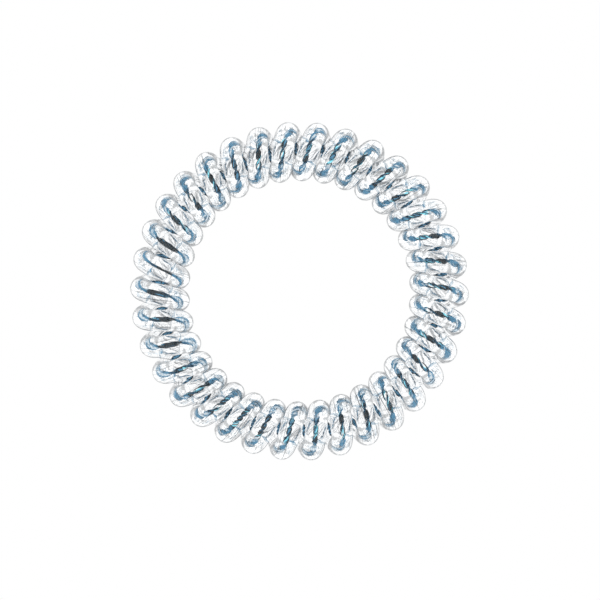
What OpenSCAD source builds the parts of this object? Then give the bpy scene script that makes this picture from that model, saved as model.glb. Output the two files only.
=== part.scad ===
// Spiral hair tie: a clear elastic cord wound into a coil whose two ends meet,
// with one twisted foil strip sealed along the inside of the cord.
// Millimetres. The ring lies flat: its axis is +Z, the floor is z = 0, and the
// origin is the middle of the hole at floor level.

/* [Ring] */
// Turns of the coil round the whole ring
turns = 34; // [24:2:36]
// Direction of one outermost point of the coil, in degrees anticlockwise from +X
first_turn_angle = 9.42; // [0:0.01:360]

/* [Cord] */
// Diameter of the clear cord
cord_d = 3.2; // [2.8:0.1:3.4]
// Outside diameter of the coil that the cord is wound into
coil_d = 8.8; // [8.4:0.1:10]
// Air gap between neighbouring turns, where they come closest
turn_gap = 0.04; // [0.03:0.01:0.3]

/* [Foil strip] */
// Width of the flat strip
strip_w = 0.5; // [0.4:0.05:0.8]
// Thickness of the flat strip
strip_t = 0.24; // [0.1:0.01:0.25]
// How far the strip lies from the cord's middle line, toward the core of the coil
strip_inset = 0.2; // [0:0.05:0.4]
// Clearance between the turning strip and the channel that it lies in
strip_clearance = 0.05; // [0.03:0.01:0.1]
// Half twists of the strip in each turn of the coil
half_twists = 3; // [0:1:4]

/* [Hidden] */

// Sides of the cord's round section, and sections in each turn of the coil
CORD_SIDES = 8;
CORD_SECTIONS = 12;
// Sections in each turn of the strip and of its channel
STRIP_SECTIONS = 10;

// The cord's middle line is a helix of this radius about the ring's core circle
helix_r = (coil_d - cord_d) / 2;
// Neighbouring strands slant, so the step along the core circle is a little
// more than their spacing. The step is counted where the turns crowd, at the hole.
strand_spacing = cord_d + turn_gap;
turn_length = 2 * PI * helix_r;
turn_step = strand_spacing / sqrt(1 - pow(strand_spacing / turn_length, 2));
// Radius of the core circle, which makes the inner ends of the turns just clear
core_r = helix_r + turns * turn_step / (2 * PI);
core_z = coil_d / 2;
// Half the side of the square channel, in which the strip can turn freely
channel_half = norm([strip_w, strip_t]) / 2 + strip_clearance;

// Middle line of the cord: coil_angle counts 360 degrees for each turn, from an
// outermost point, and the same count over all turns goes once round the ring
function ring_angle(coil_angle) = first_turn_angle + coil_angle / turns;
function line_point(coil_angle) =
    let (
        around = ring_angle(coil_angle),
        reach = core_r + helix_r * cos(coil_angle)
    )
    [reach * cos(around), reach * sin(around), core_z + helix_r * sin(coil_angle)];

// Unit vector along the middle line: the line's exact derivative, scaled to 1
function line_direction(coil_angle) =
    let (
        around = ring_angle(coil_angle),
        reach = core_r + helix_r * cos(coil_angle),
        outward = -helix_r * sin(coil_angle),
        sideways = reach / turns,
        slope = [
            outward * cos(around) - sideways * sin(around),
            outward * sin(around) + sideways * cos(around),
            helix_r * cos(coil_angle)
        ]
    )
    slope / norm(slope);

// Unit vector from the core circle out to the middle line
function line_outward(coil_angle) =
    let (around = ring_angle(coil_angle))
    [cos(coil_angle) * cos(around), cos(coil_angle) * sin(around), sin(coil_angle)];

// A section's flat corners [outward, across] stood square to the middle line
function placed_section(corners, coil_angle) =
    let (
        along = line_direction(coil_angle),
        lean = line_outward(coil_angle) - (line_outward(coil_angle) * along) * along,
        outward = lean / norm(lean),
        across = cross(along, outward)
    )
    [for (corner = corners) line_point(coil_angle) + corner.x * outward + corner.y * across];

function turned(corners, angle) = [
    for (corner = corners) [
        corner.x * cos(angle) - corner.y * sin(angle),
        corner.x * sin(angle) + corner.y * cos(angle)
    ]
];

// Corners moved over toward the core of the coil
function inset(corners) = [for (corner = corners) corner - [strip_inset, 0]];

function round_section(d, sides) = [
    for (side = [0 : sides - 1]) d / 2 * [cos(360 * side / sides), sin(360 * side / sides)]
];

function box_section(w, t) = [[-w, -t] / 2, [w, -t] / 2, [w, t] / 2, [-w, t] / 2];

// Skin of a closed sweep: section_count rings of corner_count points, with the
// last ring joined to the first. Opposite sides are split along parallel
// diagonals, so that a thin turning bar keeps its thickness.
module closed_sweep(points, section_count, corner_count) {
    faces = [
        for (section = [0 : section_count - 1], corner = [0 : corner_count - 1])
            let (
                ring = section * corner_count,
                next_ring = ((section + 1) % section_count) * corner_count,
                next_corner = (corner + 1) % corner_count,
                near = ring + corner,
                near_next = ring + next_corner,
                far = next_ring + corner,
                far_next = next_ring + next_corner
            )
            each corner < corner_count / 2
                ? [[near, far, far_next], [near, far_next, near_next]]
                : [[near, far, near_next], [far, far_next, near_next]]
    ];
    polyhedron(points = points, faces = faces);
}

// Round solid cord, before its channel is taken out
module solid_cord() {
    section_count = turns * CORD_SECTIONS;
    points = [
        for (section = [0 : section_count - 1])
            each placed_section(round_section(cord_d, CORD_SIDES), 360 * section / CORD_SECTIONS)
    ];
    closed_sweep(points, section_count, CORD_SIDES);
}

// Flat or square bar beside the same line, with that many half twists in each turn
module inner_bar(w, t, twists) {
    corners = box_section(w, t);
    section_count = turns * STRIP_SECTIONS;
    points = [
        for (section = [0 : section_count - 1])
            let (coil_angle = 360 * section / STRIP_SECTIONS)
            each placed_section(inset(turned(corners, twists * coil_angle / 2)), coil_angle)
    ];
    closed_sweep(points, section_count, len(corners));
}

// The clear elastic cord, all turns in one closed coil, with the sealed channel
module clear_coil() {
    color([0.86, 0.92, 0.95, 0.35])
    difference() {
        solid_cord();
        inner_bar(2 * channel_half, 2 * channel_half, 0);
    }
}

// The bright blue foil strip that shows through the cord
module foil_strip() {
    color([0.18, 0.44, 0.62])
    inner_bar(strip_w, strip_t, half_twists);
}

clear_coil();
foil_strip();
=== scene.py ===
"""Spiral hair tie: a clear cord wound into a closed coil, with a twisted blue foil strip sealed inside it.

The ring lies flat on a plain pale floor and is seen from straight above. Everything is in metres,
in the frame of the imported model, with +Z up and the middle of the hole at the origin.

A place on the coil is a count of turns from an outermost point. A height in the turn runs from 1 at
the top of the coil, past 0 where the cord bends over at the ring's outer and inner edge, to -1 at
the bottom.
"""

import logging
import math
from collections.abc import Iterable, Sequence
from dataclasses import dataclass, field
from enum import Enum
from itertools import pairwise
from typing import NamedTuple

import bmesh
import bpy
from mathutils import Matrix, Vector


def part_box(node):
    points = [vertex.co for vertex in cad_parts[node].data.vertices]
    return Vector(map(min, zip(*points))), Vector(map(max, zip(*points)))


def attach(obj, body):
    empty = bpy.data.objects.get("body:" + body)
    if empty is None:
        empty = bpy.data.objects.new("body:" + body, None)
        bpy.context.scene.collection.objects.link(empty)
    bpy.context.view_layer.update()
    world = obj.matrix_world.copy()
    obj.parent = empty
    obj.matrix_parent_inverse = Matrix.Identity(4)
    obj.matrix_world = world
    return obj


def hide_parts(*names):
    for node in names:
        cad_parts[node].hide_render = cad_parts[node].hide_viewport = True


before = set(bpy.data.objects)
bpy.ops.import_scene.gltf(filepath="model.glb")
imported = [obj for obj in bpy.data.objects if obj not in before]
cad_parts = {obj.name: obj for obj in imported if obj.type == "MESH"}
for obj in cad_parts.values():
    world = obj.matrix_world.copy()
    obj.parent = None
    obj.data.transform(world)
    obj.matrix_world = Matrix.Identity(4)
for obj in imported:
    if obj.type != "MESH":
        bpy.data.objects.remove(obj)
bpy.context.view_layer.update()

log = logging.getLogger("hair_tie")

MM = 0.001
# Widest gap that closes when the turns' ends are joined
WELD_REACH = 0.004 * MM
# Middle value of a noise that runs from 0 to 1
NOISE_MIDDLE = 0.5

Colour = tuple[float, float, float]
Paint = tuple[float, float, float, float]
Tree = bpy.types.NodeTree
Socket = bpy.types.NodeSocket

BLACK: Colour = (0.0, 0.0, 0.0)


class Slot(Enum):
    """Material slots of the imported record."""

    CLEAR_CORD = "clear_cord"
    BLUE_FOIL = "blue_foil"


class StripSide(Enum):
    """The strip's two faces and its cut edges, as places in its list of materials."""

    SHINY = 0
    BACK = 1
    EDGE = 2


class Step(NamedTuple):
    """The two values between which a smooth step rises or falls."""

    low: float
    high: float


def with_alpha(colour: Colour) -> Paint:
    """The colour as the four numbers that a colour socket takes."""
    return (*colour, 1.0)


def add_node(tree: Tree, kind: str, inputs: dict[str | int, object] | None = None,
             **settings: object) -> bpy.types.Node:
    """Adds a shader node, sets it up and links it.

    Args:
        tree: The material's, world's or group's node tree.
        kind: Blender's name of the node type.
        inputs: Input name or number to a value, or to the output socket that feeds it.
        settings: The node's own properties.

    Returns:
        The new node.
    """
    node = tree.nodes.new(kind)
    for name, value in settings.items():
        setattr(node, name, value)
    for socket, value in (inputs or {}).items():
        if isinstance(value, Socket):
            tree.links.new(value, node.inputs[socket])
        else:
            node.inputs[socket].default_value = value
    return node


def add_math(tree: Tree, operation: str, *values: float | Socket, clamp: bool = False) -> Socket:
    """Adds a Math node.

    Args:
        tree: The node tree.
        operation: Blender's name of the operation.
        values: Numbers or sockets for its inputs, in order.
        clamp: Whether the result is kept from 0 to 1.

    Returns:
        The node's output.
    """
    node = add_node(tree, "ShaderNodeMath", dict(enumerate(values)), operation=operation, use_clamp=clamp)
    return node.outputs["Value"]


def add_product(tree: Tree, first: Socket, *others: float | Socket) -> Socket:
    """Adds the product of several shares.

    Args:
        tree: The node tree.
        first: Socket with the first of them.
        others: Numbers or sockets with the rest of them, in order.

    Returns:
        The product's output.
    """
    product = first
    for other in others:
        product = add_math(tree, "MULTIPLY", product, other)
    return product


def add_rest(tree: Tree, share: Socket) -> Socket:
    """Adds what a share leaves of 1."""
    return add_math(tree, "SUBTRACT", 1.0, share)


def add_step(tree: Tree, value: Socket, low: float | Socket, high: float | Socket,
             low_out: float = 0.0, high_out: float = 1.0) -> Socket:
    """Adds a smooth step from one value to another.

    Args:
        tree: The node tree.
        value: Socket that drives the step.
        low: Number or socket with the driving value where the step starts.
        high: Number or socket with the driving value where the step ends.
        low_out: Result up to the start.
        high_out: Result from the end on.

    Returns:
        The step's output.
    """
    node = add_node(
        tree, "ShaderNodeMapRange",
        {"Value": value, "From Min": low, "From Max": high, "To Min": low_out, "To Max": high_out},
        interpolation_type="SMOOTHSTEP",
    )
    return node.outputs["Result"]


def add_line(tree: Tree, value: Socket, middle: float, reach: float | Socket) -> Socket:
    """Adds a thin line along the places where a value crosses its middle.

    Args:
        tree: The node tree.
        value: Socket whose value changes over the surface.
        middle: The value on the line.
        reach: Number or socket with the change of the value over which the line fades out.

    Returns:
        The line's output, 1 on the line.
    """
    off_line = add_math(tree, "ABSOLUTE", add_math(tree, "SUBTRACT", value, middle))
    return add_math(tree, "SUBTRACT", 1.0, add_math(tree, "DIVIDE", off_line, reach), clamp=True)


def add_colour_mix(tree: Tree, share: Socket, first: Paint | Socket, second: Paint | Socket) -> Socket:
    """Adds a colour Mix node.

    Args:
        tree: The node tree.
        share: Socket that is 0 for the first colour and 1 for the second.
        first: Four numbers or a socket.
        second: Four numbers or a socket.

    Returns:
        The mixed colour's output.
    """
    # A Mix node has a set of sockets for each kind of data, and colours are those with these numbers
    factor_input, first_input, second_input, colour_output = 0, 6, 7, 2
    inputs = {factor_input: share, first_input: first, second_input: second}
    return add_node(tree, "ShaderNodeMix", inputs, data_type="RGBA").outputs[colour_output]


def add_attribute(tree: Tree, name: str, output: str) -> Socket:
    """Adds a reader of a mesh attribute."""
    return add_node(tree, "ShaderNodeAttribute", attribute_name=name).outputs[output]


def add_bump(tree: Tree, height: Socket, depth: float, strength: float) -> Socket:
    """Adds a Bump node with a depth in metres."""
    inputs = {"Height": height, "Distance": depth, "Strength": strength}
    return add_node(tree, "ShaderNodeBump", inputs).outputs["Normal"]


def start_material(name: str, values: dict[str, float | Paint]) -> tuple[bpy.types.Material, bpy.types.Node]:
    """Makes a material and sets the values that are the same all over its surface.

    Args:
        name: The material's name.
        values: The shader's input names to their values.

    Returns:
        The new material and its shader.
    """
    made = bpy.data.materials.new(name)
    made.use_nodes = True
    shader = made.node_tree.nodes["Principled BSDF"]
    for socket, value in values.items():
        shader.inputs[socket].default_value = value
    return made, shader


@dataclass(frozen=True)
class CoilLine:
    """Middle line of the cord: a helix round the ring's core circle that closes after whole turns."""

    coil_diameter: float
    mid_height: float
    turns: int = 34
    first_turn_deg: float = 9.42
    cord_diameter: float = 3.2 * MM
    turn_gap: float = 0.04 * MM

    @classmethod
    def packed(cls) -> "CoilLine":
        """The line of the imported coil, which is as high as the coil's outside diameter."""
        low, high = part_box("clear_coil")
        return cls(coil_diameter=high.z - low.z, mid_height=(low.z + high.z) / 2)

    @property
    def helix_radius(self) -> float:
        """Radius of the helix about the core circle."""
        return (self.coil_diameter - self.cord_diameter) / 2

    @property
    def core_radius(self) -> float:
        """Radius of the core circle, at which the turns just clear each other at the hole.

        Returns:
            The radius.
        """
        spacing = self.cord_diameter + self.turn_gap
        turn_length = math.tau * self.helix_radius
        step = spacing / math.sqrt(1 - (spacing / turn_length) ** 2)
        return self.helix_radius + self.turns * step / math.tau

    @property
    def outer_radius(self) -> float:
        """Radius of the ring's outline."""
        return self.core_radius + self.coil_diameter / 2

    def section_place(self, turn: float) -> Matrix:
        """Placement of a flat section on the line.

        Args:
            turn: Place on the line.

        Returns:
            A matrix with X away from the core circle, Y across, and Z along the cord.
        """
        coil = math.tau * turn
        ring = math.radians(self.first_turn_deg) + coil / self.turns
        radial = Vector((math.cos(ring), math.sin(ring), 0.0))
        tangent = Vector((-math.sin(ring), math.cos(ring), 0.0))
        up = Vector((0.0, 0.0, 1.0))
        helix = self.helix_radius
        reach = self.core_radius + helix * math.cos(coil)
        outward_slope = -helix * math.sin(coil) * radial
        onward_slope = reach / self.turns * tangent
        upward_slope = helix * math.cos(coil) * up
        along = (outward_slope + onward_slope + upward_slope).normalized()
        away = math.cos(coil) * radial + math.sin(coil) * up
        away = (away - away.dot(along) * along).normalized()
        place = Matrix((away, along.cross(away), along)).transposed().to_4x4()
        place.translation = reach * radial + (self.mid_height + helix * math.sin(coil)) * up
        return place


@dataclass(frozen=True)
class Seat:
    """How a section sits on the coil's line: its roll in radians, and its shifts inward and sideways."""

    roll: float = 0.0
    inward: float = 0.0
    sideways: float = 0.0


@dataclass
class StrandMesh:
    """A closed strand swept along the coil's line, one turn at a time, from a flat section.

    Every face corner carries its place in the straightened strand: two coordinates in the section,
    then the count of turns. Every point carries its height in the turn, and the section's twist
    there in half twists a turn.
    """

    line: CoilLine
    stations: int
    place_name: str = "straight_place"
    height_name: str = "turn_height"
    twist_name: str = "local_twist"
    bm: bmesh.types.BMesh = field(default_factory=bmesh.new)

    def __post_init__(self) -> None:
        """Makes the layers that the sweep fills."""
        self.corner = self.bm.verts.layers.int.new("corner")
        self.turn = self.bm.verts.layers.float.new("turn")
        self.height = self.bm.verts.layers.float.new(self.height_name)
        self.twist = self.bm.verts.layers.float.new(self.twist_name)
        self.straight = self.bm.loops.layers.float_vector.new(self.place_name)

    def sweep_turn(self, start: float, outline: list[bmesh.types.BMVert], seats: Sequence[Seat]) -> None:
        """Grows one turn from an outline that lies at the origin.

        Args:
            start: Place on the line where the turn starts.
            outline: The section's corners in order.
            seats: How the section sits on the line at each station.
        """
        flat = [vert.co.copy() for vert in outline]
        for number, vert in enumerate(outline):
            vert[self.corner] = number
            self.mark(vert, start, seats[0], seats[1])
        places = [
            self.line.section_place(start + station / self.stations)
            @ Matrix.Translation((-seat.inward, seat.sideways, 0.0)) @ Matrix.Rotation(seat.roll, 4, "Z")
            for station, seat in enumerate(seats)
        ]
        bmesh.ops.transform(self.bm, matrix=places[0], verts=outline)
        edges = list({edge for vert in outline for edge in vert.link_edges})
        faces = []
        for station, (last, place) in enumerate(pairwise(places), 1):
            grown = bmesh.ops.extrude_edge_only(self.bm, edges=edges)["geom"]
            verts = [part for part in grown if isinstance(part, bmesh.types.BMVert)]
            fresh = set(verts)
            grown_edges = (part for part in grown if isinstance(part, bmesh.types.BMEdge))
            edges = [edge for edge in grown_edges if fresh.issuperset(edge.verts)]
            bmesh.ops.transform(self.bm, matrix=place @ last.inverted(), verts=verts)
            for vert in verts:
                self.mark(vert, start + station / self.stations, seats[station - 1], seats[station])
            faces += [face for edge in edges for face in edge.link_faces]
        for face in faces:
            for loop in face.loops:
                point = flat[loop.vert[self.corner]]
                loop[self.straight] = Vector((point.x, point.y, loop.vert[self.turn]))

    def mark(self, vert: bmesh.types.BMVert, turn: float, last: Seat, seat: Seat) -> None:
        """Writes what a point carries.

        Args:
            vert: The point.
            turn: Its place on the line.
            last: The section's seat at one station.
            seat: The section's seat at the next station.
        """
        vert[self.turn] = turn
        vert[self.height] = math.sin(math.tau * turn)
        vert[self.twist] = abs(seat.roll - last.roll) * self.stations / math.pi

    def absorb(self, part: "StrandMesh") -> None:
        """Takes over the geometry of another strand, which is then empty.

        Args:
            part: The strand that is taken over, such as one turn of this one.
        """
        carrier = bpy.data.meshes.new("part")
        part.bm.to_mesh(carrier)
        part.bm.free()
        self.bm.from_mesh(carrier)
        bpy.data.meshes.remove(carrier)

    def finish(self, name: str) -> bpy.types.Object:
        """Joins the turns' ends and makes the object.

        Args:
            name: The piece's name.

        Returns:
            The new object, at the origin.
        """
        bmesh.ops.remove_doubles(self.bm, verts=self.bm.verts[:], dist=WELD_REACH)
        bmesh.ops.recalc_face_normals(self.bm, faces=self.bm.faces[:])
        for face in self.bm.faces:
            face.smooth = True
        return place_object(name, self.bm)


def place_object(name: str, bm: bmesh.types.BMesh) -> bpy.types.Object:
    """Makes an object of a bmesh, which is then freed.

    Args:
        name: The object's name.
        bm: Its geometry.

    Returns:
        The new object, at the origin.
    """
    mesh = bpy.data.meshes.new(name)
    bm.to_mesh(mesh)
    bm.free()
    made = bpy.data.objects.new(name, mesh)
    bpy.context.scene.collection.objects.link(made)
    return made


@dataclass(frozen=True)
class FlowMarks:
    """Node group with the marks that drawing leaves along a strand, used by the cord and the foil.

    It reads a place in the straightened strand and puts out long streaks, thin lines that follow the
    streaks, dashes at their peaks, and the thin outlines of small blots, all from 0 to 1.
    """

    name: str = "flow_marks"
    streak_detail: float = 1.0
    blot_detail: float = 0.0

    def group(self) -> Tree:
        """The group's node tree, built when it is first asked for.

        Returns:
            The node tree.
        """
        found = bpy.data.node_groups.get(self.name)
        if found:
            return found
        tree = bpy.data.node_groups.new(self.name, "ShaderNodeTree")
        face = tree.interface
        face.new_socket("Place", in_out="INPUT", socket_type="NodeSocketVector")
        for name in ("Streaks Across", "Streaks Along", "Streak Line", "Dash From", "Dash Full",
                     "Blots Across", "Blots Along", "Blot Line"):
            face.new_socket(name, in_out="INPUT", socket_type="NodeSocketFloat")
        for name in ("Streaks", "Lines", "Dashes", "Blots"):
            face.new_socket(name, in_out="OUTPUT", socket_type="NodeSocketFloat")
        given = add_node(tree, "NodeGroupInput").outputs
        streaks = self.drawn_noise(
            tree, given["Place"], given["Streaks Across"], given["Streaks Along"], self.streak_detail,
        )
        blots = self.drawn_noise(
            tree, given["Place"], given["Blots Across"], given["Blots Along"], self.blot_detail,
        )
        add_node(tree, "NodeGroupOutput", {
            "Streaks": streaks,
            "Lines": add_line(tree, streaks, NOISE_MIDDLE, given["Streak Line"]),
            "Dashes": add_step(tree, streaks, given["Dash From"], given["Dash Full"]),
            "Blots": add_line(tree, blots, NOISE_MIDDLE, given["Blot Line"]),
        })
        return tree

    @staticmethod
    def drawn_noise(tree: Tree, place: Socket, across: Socket, along: Socket, detail: float) -> Socket:
        """Noise with one scale across the strand and another along it.

        Args:
            tree: The node tree.
            place: Socket with the place in the straightened strand.
            across: Socket with the noise's cells in a metre across the strand.
            along: Socket with the noise's cells in each turn along it.
            detail: Octaves of finer noise.

        Returns:
            The noise's output.
        """
        scales = add_node(tree, "ShaderNodeCombineXYZ", {"X": across, "Y": across, "Z": along})
        drawn = add_node(
            tree, "ShaderNodeVectorMath", {0: place, 1: scales.outputs["Vector"]}, operation="MULTIPLY",
        )
        inputs = {"Vector": drawn.outputs["Vector"], "Scale": 1.0, "Detail": detail}
        return add_node(tree, "ShaderNodeTexNoise", inputs).outputs["Fac"]

    def place_in(self, tree: Tree, place_name: str, **values: float) -> bpy.types.NodeOutputs:
        """Puts the group into a material.

        Args:
            tree: The material's node tree.
            place_name: Name of the mesh attribute with the straightened place.
            values: Input names, with _ for a space, to numbers.

        Returns:
            The outputs of the group's node.
        """
        inputs = {name.replace("_", " ").title(): value for name, value in values.items()}
        inputs["Place"] = add_attribute(tree, place_name, "Vector")
        return add_node(tree, "ShaderNodeGroup", inputs, node_tree=self.group()).outputs


@dataclass(frozen=True)
class ClearPlastic:
    """Clear glossy elastic plastic, with darker rims of painted shade where it is seen edge-on, a faint
    painted glow on its inside faces, and faint flow marks.
    """

    tint: Colour = (0.982, 0.987, 0.992)
    # Painted glow of the inside faces, standing in for light scattered inside the cord
    haze_glow: Colour = (0.105, 0.107, 0.108)
    roughness: float = 0.03
    specular_level: float = 0.25
    ior: float = 1.36
    transmission: float = 1.0
    # Heights, up or down, over which a bend's tip ends, and over which the whole bend ends
    tip: Step = Step(0.25, 0.45)
    bend: Step = Step(0.8, 0.95)
    # Rims of painted shade where the cord is seen edge-on: full at the bends, fainter on the straight runs
    # and where the streaks are weak
    rim_shade_tint: Colour = (0.08, 0.09, 0.10)
    rim_blend: float = 0.5
    rim_edge_on: Step = Step(0.65, 0.78)
    rim_height: Step = Step(-0.5, -0.2)
    straight_rim: float = 0.25
    weak_rim: float = 0.75
    weak_rim_streaks: Step = Step(0.4, 0.6)
    # Faint second line of painted shade inside each rim
    inner_line: float = 0.3
    inner_line_reach: float = 0.04
    inner_line_share: float = 0.25
    # Thin lines along the cord, and darker dashes in the lower half of the coil
    line_tint: Colour = (0.05, 0.055, 0.06)
    streaks_across: float = 3000.0
    streaks_along: float = 0.35
    streak_line: float = 0.03
    dash_tint: Colour = (0.1, 0.11, 0.12)
    dash_streaks: Step = Step(0.58, 0.62)
    dash_height: Step = Step(-0.6, -0.3)
    # Outlines of small blots at the shoulders of the bends, beside their tips
    blot_tint: Colour = (0.26, 0.31, 0.34)
    blots_across: float = 3000.0
    blots_along: float = 8.0
    blot_line: float = 0.02
    blot_height: float = 0.2
    mark_depth: float = 0.02 * MM
    mark_strength: float = 1.0

    def material(self, strand: StrandMesh) -> bpy.types.Material:
        """Makes the material.

        Args:
            strand: The cord's mesh, which names its attributes.

        Returns:
            The new material.
        """
        made, shader = start_material("clear_plastic", {
            "Roughness": self.roughness,
            "IOR": self.ior,
            "Specular IOR Level": self.specular_level,
            "Transmission Weight": self.transmission,
            "Emission Strength": 1.0,
        })
        tree = made.node_tree
        inside = add_node(tree, "ShaderNodeNewGeometry").outputs["Backfacing"]
        height = add_attribute(tree, strand.height_name, "Fac")
        off_mid_height = add_math(tree, "ABSOLUTE", height)
        at_bend = add_step(tree, off_mid_height, *self.bend, 1.0, 0.0)
        off_tip = add_step(tree, off_mid_height, *self.tip)
        marks = FlowMarks().place_in(
            tree, strand.place_name,
            streaks_across=self.streaks_across, streaks_along=self.streaks_along,
            streak_line=self.streak_line, dash_from=self.dash_streaks.low, dash_full=self.dash_streaks.high,
            blots_across=self.blots_across, blots_along=self.blots_along, blot_line=self.blot_line,
        )
        blots = add_product(tree, marks["Blots"], at_bend, off_tip)
        body = self.body(tree, marks, blots, height)
        rims = self.rims(tree, marks, add_rest(tree, inside), at_bend, height)
        ridges = add_math(tree, "MULTIPLY_ADD", blots, self.blot_height, marks["Streaks"])
        sources = {
            # Painted shade: the base colour darkens at the rims, where the cord is seen edge-on
            "Base Color": add_colour_mix(tree, rims, body, with_alpha(self.rim_shade_tint)),
            # Painted glow: only the inside faces give off a faint light, standing in for light scattered in
            # the cord
            "Emission Color": add_colour_mix(tree, inside, with_alpha(BLACK), with_alpha(self.haze_glow)),
            "Normal": add_bump(tree, ridges, self.mark_depth, self.mark_strength),
        }
        for name, source in sources.items():
            tree.links.new(source, shader.inputs[name])
        return made

    def body(self, tree: Tree, marks: bpy.types.NodeOutputs, blots: Socket, height: Socket) -> Socket:
        """Colour of the plastic with its flow marks.

        Args:
            tree: The material's node tree.
            marks: Outputs of the flow marks.
            blots: Mask of the blots' outlines.
            height: Height in the turn.

        Returns:
            The colour's output.
        """
        low_down = add_step(tree, height, *self.dash_height, 1.0, 0.0)
        dashes = add_product(tree, marks["Dashes"], low_down)
        lined = add_colour_mix(tree, marks["Lines"], with_alpha(self.tint), with_alpha(self.line_tint))
        blotted = add_colour_mix(tree, blots, lined, with_alpha(self.blot_tint))
        return add_colour_mix(tree, dashes, blotted, with_alpha(self.dash_tint))

    def rims(self, tree: Tree, marks: bpy.types.NodeOutputs, outside: Socket, at_bend: Socket,
             height: Socket) -> Socket:
        """Mask of the rims, the painted shade where the cord is seen edge-on.

        Args:
            tree: The material's node tree.
            marks: Outputs of the flow marks.
            outside: Mask of the cord's outer surface, as against its inner one.
            at_bend: Mask of the bends at the ring's edges.
            height: Height in the turn.

        Returns:
            The mask's output.
        """
        edge_on = add_node(tree, "ShaderNodeLayerWeight", {"Blend": self.rim_blend}).outputs["Facing"]
        rim = add_product(
            tree, add_step(tree, edge_on, *self.rim_edge_on), outside,
            add_math(tree, "MAXIMUM", at_bend, self.straight_rim), add_step(tree, height, *self.rim_height),
        )
        inner = add_line(tree, edge_on, self.inner_line, self.inner_line_reach)
        inner = add_product(tree, inner, self.inner_line_share, outside)
        uneven = add_step(tree, marks["Streaks"], *self.weak_rim_streaks, self.weak_rim, 1.0)
        return add_product(tree, add_math(tree, "MAXIMUM", rim, inner), uneven)


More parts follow.
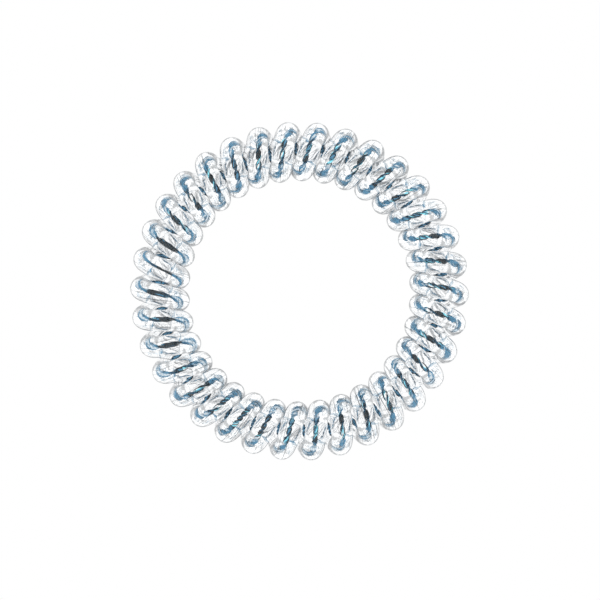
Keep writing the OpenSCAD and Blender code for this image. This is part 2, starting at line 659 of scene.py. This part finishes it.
@dataclass(frozen=True)
class BlueFoil:
    """Metallised film: bright blue, with dark margins and a back that is mostly dark at the top of the coil,
    both painted shade; painted cyan and white glints at the top, and a painted pale sheen at the bends.
    """

    face: Colour = (0.10, 0.27, 0.42)
    # Painted shade: near-black of the margins and of the patches at the top of the coil
    dark: Colour = (0.004, 0.018, 0.028)
    # Painted shade: darker blue of the cut edges at the top of the coil
    edge: Colour = (0.03, 0.09, 0.15)
    # Painted highlight: cyan glints on the shiny face and the cut edges at the top of the coil
    bright: Colour = (0.30, 0.86, 1.0)
    # Painted highlight: white glints on the shiny face at the top of the coil
    white_glint: Colour = (1.0, 1.0, 1.0)
    # Painted sheen: pale places at the bends
    pale: Colour = (0.72, 0.81, 0.87)
    roughness: float = 0.15
    # Heights over which the coil's top begins, its bottom ends, and the lower flank of its bends ends
    top: Step = Step(0.72, 0.88)
    bottom: Step = Step(-0.85, -0.7)
    flank: Step = Step(-0.1, 0.05)
    # Shares of the half width over which the margins of painted shade begin
    margin: Step = Step(0.5, 0.6)
    # Fine blue rings in the places of painted pale sheen
    rings_across: float = 2600.0
    rings_along: float = 30.0
    ring_line: float = 0.08
    # Patches of painted glints, painted shade and painted pale sheen, of which each kind starts at its own
    # value of one noise
    patches_across: float = 3500.0
    patches_along: float = 8.0
    pale_sheen_from: float = 0.55
    cyan_glint_from: float = 0.48
    white_glint_from: float = 0.55
    edge_glint_from: float = 0.56
    back_blue_from: float = 0.54
    shiny_blue_from: float = 0.37
    patch_edge: float = 0.03
    # Half twists a turn over which the strip stops being slack, and what the noise loses where it is, which
    # gives loose turns more painted shade and fewer painted glints at the top of the coil
    slack_twist: Step = Step(7.0, 9.0)
    slack_loss: float = 0.15
    # Fine crinkles all over the film
    crinkles_across: float = 3000.0
    crinkles_along: float = 9.0
    crinkle_depth: float = 0.02 * MM
    crinkle_strength: float = 0.4

    def material(self, side: StripSide, strand: StrandMesh, half_width: float) -> bpy.types.Material:
        """Makes the material of one side.

        Args:
            side: Which side of the strip.
            strand: The strip's mesh, which names its attributes.
            half_width: Half the strip's width.

        Returns:
            The new material.
        """
        made, shader = start_material(f"foil_{side.name.lower()}", {"Roughness": self.roughness})
        tree = made.node_tree
        height = add_attribute(tree, strand.height_name, "Fac")
        at_top = add_step(tree, height, *self.top)
        at_bottom = add_step(tree, height, *self.bottom, 1.0, 0.0)
        at_bend = add_rest(tree, add_math(tree, "ADD", at_top, at_bottom))
        on_flank = add_math(tree, "MINIMUM", at_bend, add_step(tree, height, *self.flank, 1.0, 0.0))
        slack = add_step(tree, add_attribute(tree, strand.twist_name, "Fac"), *self.slack_twist, 1.0, 0.0)
        patch_noise = self.patch_noise(tree, strand, slack)
        between_margins = self.between_margins(tree, strand, half_width)
        crinkles = FlowMarks().place_in(
            tree, strand.place_name,
            streaks_across=self.crinkles_across, streaks_along=self.crinkles_along,
            blots_across=self.rings_across, blots_along=self.rings_along, blot_line=self.ring_line,
        )
        # Painted pale sheen at the bends: all over their lower flank, in patches, and between the margins
        # where the strip is slack, but not on the fine rings
        pale_sheen_patches = self.patch(tree, patch_noise, self.pale_sheen_from)
        pale_sheen_middle = add_product(tree, slack, between_margins)
        pale_sheen_place = add_math(tree, "MAXIMUM", add_math(tree, "MAXIMUM", on_flank, pale_sheen_patches), pale_sheen_middle)
        pale_sheen_share = add_product(tree, pale_sheen_place, add_rest(tree, crinkles["Blots"]), at_bend)
        # Painted shade: dark margins, and dark patches at the top of the coil, but none at the bends
        painted_shade_share = self.painted_shade_share(tree, side, patch_noise, between_margins, at_top)
        painted_shade_share = add_math(tree, "SUBTRACT", painted_shade_share, at_bend, clamp=True)
        # The foil's blue, with painted cyan and white glints at the top of the coil
        colour = self.ground(tree, side, patch_noise, at_top)
        colour = add_colour_mix(tree, pale_sheen_share, colour, with_alpha(self.pale))
        sources = {
            "Base Color": add_colour_mix(tree, painted_shade_share, colour, with_alpha(self.dark)),
            "Metallic": add_rest(tree, painted_shade_share),
            "Normal": add_bump(tree, crinkles["Streaks"], self.crinkle_depth, self.crinkle_strength),
        }
        for name, source in sources.items():
            tree.links.new(source, shader.inputs[name])
        return made

    def ground(self, tree: Tree, side: StripSide, patch_noise: Socket, at_top: Socket) -> Paint | Socket:
        """Colour of a side without its painted pale sheen and painted shade: blue, and at the top of the coil
        painted cyan glints on the shiny face and cut edges, painted white glints on the shiny face, and a
        painted darker blue on the cut edges.

        Args:
            tree: The material's node tree.
            side: Which side of the strip.
            patch_noise: Noise that sets the patches.
            at_top: Mask of the top of the coil.

        Returns:
            The plain colour of the back, or the colour's output.
        """
        face = with_alpha(self.face)
        bright = with_alpha(self.bright)
        if side is StripSide.BACK:
            return face
        if side is StripSide.EDGE:
            is_glint = self.patch(tree, patch_noise, self.edge_glint_from)
            lit = add_colour_mix(tree, is_glint, with_alpha(self.edge), bright)
        else:
            is_white_glint = self.patch(tree, patch_noise, self.white_glint_from)
            lit = add_colour_mix(tree, self.patch(tree, patch_noise, self.cyan_glint_from), face, bright)
            lit = add_colour_mix(tree, is_white_glint, lit, with_alpha(self.white_glint))
        return add_colour_mix(tree, at_top, face, lit)

    def painted_shade_share(self, tree: Tree, side: StripSide, patch_noise: Socket, between_margins: Socket,
                   at_top: Socket) -> Socket:
        """Mask of a side's painted shade: its dark margins, and the dark patches at the top that aren't blue.

        Args:
            tree: The material's node tree.
            side: Which side of the strip.
            patch_noise: Noise that sets the patches.
            between_margins: Mask of the face between its margins.
            at_top: Mask of the top of the coil.

        Returns:
            The mask's output.
        """
        blue_from = self.back_blue_from if side is StripSide.BACK else self.shiny_blue_from
        dark_shade_patches = add_product(tree, self.patch(tree, patch_noise, blue_from, 1.0, 0.0), at_top)
        if side is StripSide.EDGE:
            return dark_shade_patches
        return add_math(tree, "MAXIMUM", add_rest(tree, between_margins), dark_shade_patches)

    def between_margins(self, tree: Tree, strand: StrandMesh, half_width: float) -> Socket:
        """Mask of the face between its margins of painted shade.

        Args:
            tree: The material's node tree.
            strand: The strip's mesh, which names its attributes.
            half_width: Half the strip's width.

        Returns:
            The mask's output.
        """
        place = add_attribute(tree, strand.place_name, "Vector")
        across = add_node(tree, "ShaderNodeSeparateXYZ", {"Vector": place}).outputs["X"]
        share = add_math(tree, "DIVIDE", add_math(tree, "ABSOLUTE", across), half_width)
        return add_step(tree, share, *self.margin, 1.0, 0.0)

    def patch_noise(self, tree: Tree, strand: StrandMesh, slack: Socket) -> Socket:
        """Noise that sets the painted patches along the strip, lower where it is twisted loosely.

        Args:
            tree: The material's node tree.
            strand: The strip's mesh, which names its attributes.
            slack: Mask of the loosely twisted turns.

        Returns:
            The noise's output.
        """
        marks = FlowMarks().place_in(
            tree, strand.place_name, streaks_across=self.patches_across, streaks_along=self.patches_along,
        )
        return add_math(tree, "SUBTRACT", marks["Streaks"], add_product(tree, slack, self.slack_loss))

    def patch(self, tree: Tree, patch_noise: Socket, start: float,
              off: float = 0.0, on: float = 1.0) -> Socket:
        """Mask of the patches where the noise is above a start: off outside them, on inside."""
        return add_step(tree, patch_noise, start, start + self.patch_edge, off, on)


@dataclass
class ClearCord:
    """The clear elastic cord: all turns in one closed coil."""

    line: CoilLine
    # Corners of the round section, and sections in each turn
    sides: int = 32
    stations: int = 64
    finish: ClearPlastic = ClearPlastic()

    def build(self) -> bpy.types.Object:
        """Sweeps one turn, copies it round the ring and joins the copies.

        Returns:
            The finished piece.
        """
        strand = StrandMesh(self.line, self.stations)
        bm = strand.bm
        circle = bmesh.ops.create_circle(bm, segments=self.sides, radius=self.line.cord_diameter / 2)
        strand.sweep_turn(0.0, circle["verts"], [Seat()] * (self.stations + 1))
        turn_geometry = bm.verts[:] + bm.edges[:] + bm.faces[:]
        for turn in range(1, self.line.turns):
            copy = bmesh.ops.duplicate(bm, geom=turn_geometry)["geom"]
            verts = [part for part in copy if isinstance(part, bmesh.types.BMVert)]
            about_axis = Matrix.Rotation(math.tau * turn / self.line.turns, 4, "Z")
            bmesh.ops.transform(bm, matrix=about_axis, verts=verts)
            for face in (part for part in copy if isinstance(part, bmesh.types.BMFace)):
                for loop in face.loops:
                    loop[strand.straight] = loop[strand.straight] + Vector((0.0, 0.0, turn))
        piece = strand.finish("clear_cord")
        piece.data.materials.append(self.finish.material(strand))
        return piece


class TwistMark(NamedTuple):
    """A place on the line, in turns, and the half twists of the strip up to there."""

    turn: float
    half_twists: float


@dataclass
class FoilStrip:
    """The flat foil strip in the cord, twisted along its whole length.

    At an even count of half twists the back faces away from the core circle; at the top of the coil it is
    mostly painted dark, as shade.
    """

    line: CoilLine
    width: float = 0.5 * MM
    thickness: float = 0.24 * MM
    stations: int = 128
    # How far the strip lies from the cord's middle line, toward the core circle
    drift: float = 0.2 * MM
    # How far it wanders from there, and how often on its way round the ring
    wander: float = 0.12 * MM
    inward_waves: int = 23
    sideways_waves: int = 29
    # Half twists that turn the back, which is drawn facing across the strand, away from the core circle
    back_up: float = 0.5
    half_twists_in_all: int = 360
    # Where the pace of the twist changes on the way round the ring
    twist_marks: tuple[TwistMark, ...] = (
        TwistMark(0.21, 0.0),
        TwistMark(1.21, 10.0),
        TwistMark(9.23, 102.0),
        TwistMark(13.23, 146.0),
        TwistMark(14.23, 154.0),
        TwistMark(15.05, 157.3),
        TwistMark(15.45, 157.7),
        TwistMark(16.25, 161.0),
        TwistMark(19.25, 179.0),
        TwistMark(21.25, 199.0),
        TwistMark(23.25, 241.0),
        TwistMark(25.25, 267.0),
        TwistMark(31.25, 330.0),
    )
    finish: BlueFoil = BlueFoil()

    def roll_at(self, turn: float) -> float:
        """Roll of the strip's section, in radians.

        Args:
            turn: Place on the line.

        Returns:
            The roll, which is 0 where the back faces across the strand, as it is drawn.
        """
        first = self.twist_marks[0]
        end = TwistMark(first.turn + self.line.turns, first.half_twists + self.half_twists_in_all)
        rounds_back = 1 if turn < first.turn else 0
        place = turn + rounds_back * self.line.turns
        spans = pairwise((*self.twist_marks, end))
        start, stop = next(span for span in spans if place <= span[1].turn)
        share = (place - start.turn) / (stop.turn - start.turn)
        count = start.half_twists + share * (stop.half_twists - start.half_twists)
        return math.pi * (count - rounds_back * self.half_twists_in_all + self.back_up)

    def seat_at(self, turn: float) -> Seat:
        """How the strip's section sits: off the cord's middle, and never quite straight.

        Args:
            turn: Place on the line.

        Returns:
            The seat there.
        """
        return Seat(
            self.roll_at(turn),
            self.drift + self.wander * math.sin(math.tau * self.inward_waves * turn / self.line.turns),
            self.wander * math.sin(math.tau * self.sideways_waves * turn / self.line.turns),
        )

    def draw_section(self, bm: bmesh.types.BMesh) -> list[bmesh.types.BMVert]:
        """Draws the strip's flat section at the origin: a square of side 1, scaled.

        Args:
            bm: The bmesh that it is drawn in.

        Returns:
            The section's corners in order.
        """
        corners = bmesh.ops.create_circle(bm, segments=4, radius=math.sqrt(0.5))["verts"]
        bmesh.ops.rotate(bm, verts=corners, matrix=Matrix.Rotation(math.pi / 4, 3, "Z"))
        bmesh.ops.scale(bm, verts=corners, vec=(self.width, self.thickness, 1.0))
        return corners

    def build(self) -> bpy.types.Object:
        """Sweeps the strip's flat section turn by turn, as it sits at each station.

        Returns:
            The finished piece.
        """
        strand = StrandMesh(self.line, self.stations)
        for turn in range(self.line.turns):
            part = StrandMesh(self.line, self.stations)
            seats = [self.seat_at(turn + station / self.stations) for station in range(self.stations + 1)]
            part.sweep_turn(float(turn), self.draw_section(part.bm), seats)
            strand.absorb(part)
        for face in strand.bm.faces:
            face.material_index = self.side_of(face, strand).value
        for edge in strand.bm.edges:
            one, other = edge.verts
            edge.smooth = one[strand.corner] != other[strand.corner]
        piece = strand.finish("foil_strip_dressed")
        for side in StripSide:
            piece.data.materials.append(self.finish.material(side, strand, self.width / 2))
        return piece

    @staticmethod
    def side_of(face: bmesh.types.BMFace, strand: StrandMesh) -> StripSide:
        """Side of the strip that a face belongs to.

        Args:
            face: The face.
            strand: The strip's mesh.

        Returns:
            The side.
        """
        through = [loop[strand.straight].y for loop in face.loops]
        if min(through) > 0:
            return StripSide.SHINY
        if max(through) < 0:
            return StripSide.BACK
        return StripSide.EDGE


class SkyLevel(NamedTuple):
    """How bright the sky is at a height, which is 0 at the horizon and 1 overhead."""

    height: float
    brightness: float


@dataclass
class Studio:
    """Plain pale floor, soft light all round and a camera that looks straight down."""

    line: CoilLine
    floor_half: float = 2.0
    floor_bright_radius: float = 0.06
    floor_dim_radius: float = 0.5
    floor_dim: float = 0.85
    sky: tuple[SkyLevel, ...] = (
        SkyLevel(0.0, 0.85), SkyLevel(0.2, 0.9), SkyLevel(0.45, 1.0), SkyLevel(1.0, 1.0),
    )
    camera_height: float = 0.6
    sensor_width_mm: float = 36.0
    picture_px: float = 600.0
    ring_radius_px: float = 169.55
    ring_middle_px: tuple[float, float] = (299.567, 291.287)
    light_bounces: int = 24

    def build_floor(self) -> bpy.types.Object:
        """Makes the floor, which shines evenly under the ring and less far away.

        Returns:
            The floor.
        """
        bm = bmesh.new()
        bmesh.ops.create_grid(bm, x_segments=1, y_segments=1, size=self.floor_half)
        floor = place_object("floor", bm)
        made, shader = start_material("pale_floor", {
            "Base Color": with_alpha(BLACK),
            "Specular IOR Level": 0.0,
            "Emission Strength": 1.0,
        })
        tree = made.node_tree
        place = add_node(tree, "ShaderNodeTexCoord").outputs["Object"]
        away = add_node(tree, "ShaderNodeVectorMath", {0: place}, operation="LENGTH").outputs["Value"]
        shine = add_step(tree, away, self.floor_bright_radius, self.floor_dim_radius, 1.0, self.floor_dim)
        tree.links.new(shine, shader.inputs["Emission Color"])
        floor.data.materials.append(made)
        return floor

    def light_sky(self) -> None:
        """Lights the scene from a sky that brightens from the horizon up."""
        world = bpy.data.worlds.new("studio")
        world.use_nodes = True
        bpy.context.scene.world = world
        tree = world.node_tree
        direction = add_node(tree, "ShaderNodeTexCoord").outputs["Generated"]
        height = add_node(tree, "ShaderNodeSeparateXYZ", {"Vector": direction}).outputs["Z"]
        ramp = add_node(tree, "ShaderNodeValToRGB", {"Fac": height})
        elements = ramp.color_ramp.elements
        horizon, *between, overhead = self.sky
        # A new ramp has its two end elements already
        for element, level in zip(elements, (horizon, overhead)):
            element.position = level.height
            element.color = with_alpha((level.brightness,) * 3)
        for level in between:
            elements.new(level.height).color = with_alpha((level.brightness,) * 3)
        tree.links.new(ramp.outputs["Color"], tree.nodes["Background"].inputs["Color"])

    def place_camera(self) -> None:
        """Sets the camera so that the ring has the photograph's size and place in the picture."""
        metres_per_px = self.line.outer_radius / self.ring_radius_px
        middle_x, middle_y = self.ring_middle_px
        camera = bpy.data.cameras.new("camera")
        camera.sensor_width = self.sensor_width_mm
        camera.lens = self.sensor_width_mm * self.camera_height / (self.picture_px * metres_per_px)
        seat = bpy.data.objects.new("camera", camera)
        seat.location = (
            (self.picture_px / 2 - middle_x) * metres_per_px,
            (middle_y - self.picture_px / 2) * metres_per_px,
            self.line.mid_height + self.camera_height,
        )
        bpy.context.scene.collection.objects.link(seat)
        bpy.context.scene.camera = seat

    def set_view(self) -> None:
        """Shows whites as white and lets light pass through many turns of the cord."""
        scene = bpy.context.scene
        scene.view_settings.view_transform = "Standard"
        scene.cycles.max_bounces = self.light_bounces
        scene.cycles.transmission_bounces = self.light_bounces
        scene.cycles.transparent_max_bounces = self.light_bounces


def report_piece(piece: bpy.types.Object) -> None:
    """Logs a piece's name, triangles and size.

    Args:
        piece: The piece.
    """
    triangles = sum(len(face.vertices) - 2 for face in piece.data.polygons)
    size_mm = [round(side / MM, 3) for side in piece.dimensions]
    log.info("%s: %d triangles, %s mm", piece.name, triangles, size_mm)


def main() -> None:
    """Builds the pieces, places them on their body, and sets up the studio."""
    logging.basicConfig(level=logging.INFO, format="%(name)s: %(message)s")
    line = CoilLine.packed()
    cord = ClearCord(line).build()
    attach(cord, "root")
    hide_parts("clear_coil")
    report_piece(cord)
    strip = FoilStrip(line).build()
    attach(strip, "root")
    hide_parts("foil_strip")
    report_piece(strip)
    studio = Studio(line)
    floor = studio.build_floor()
    studio.light_sky()
    studio.place_camera()
    studio.set_view()


if __name__ == "__main__":
    main()
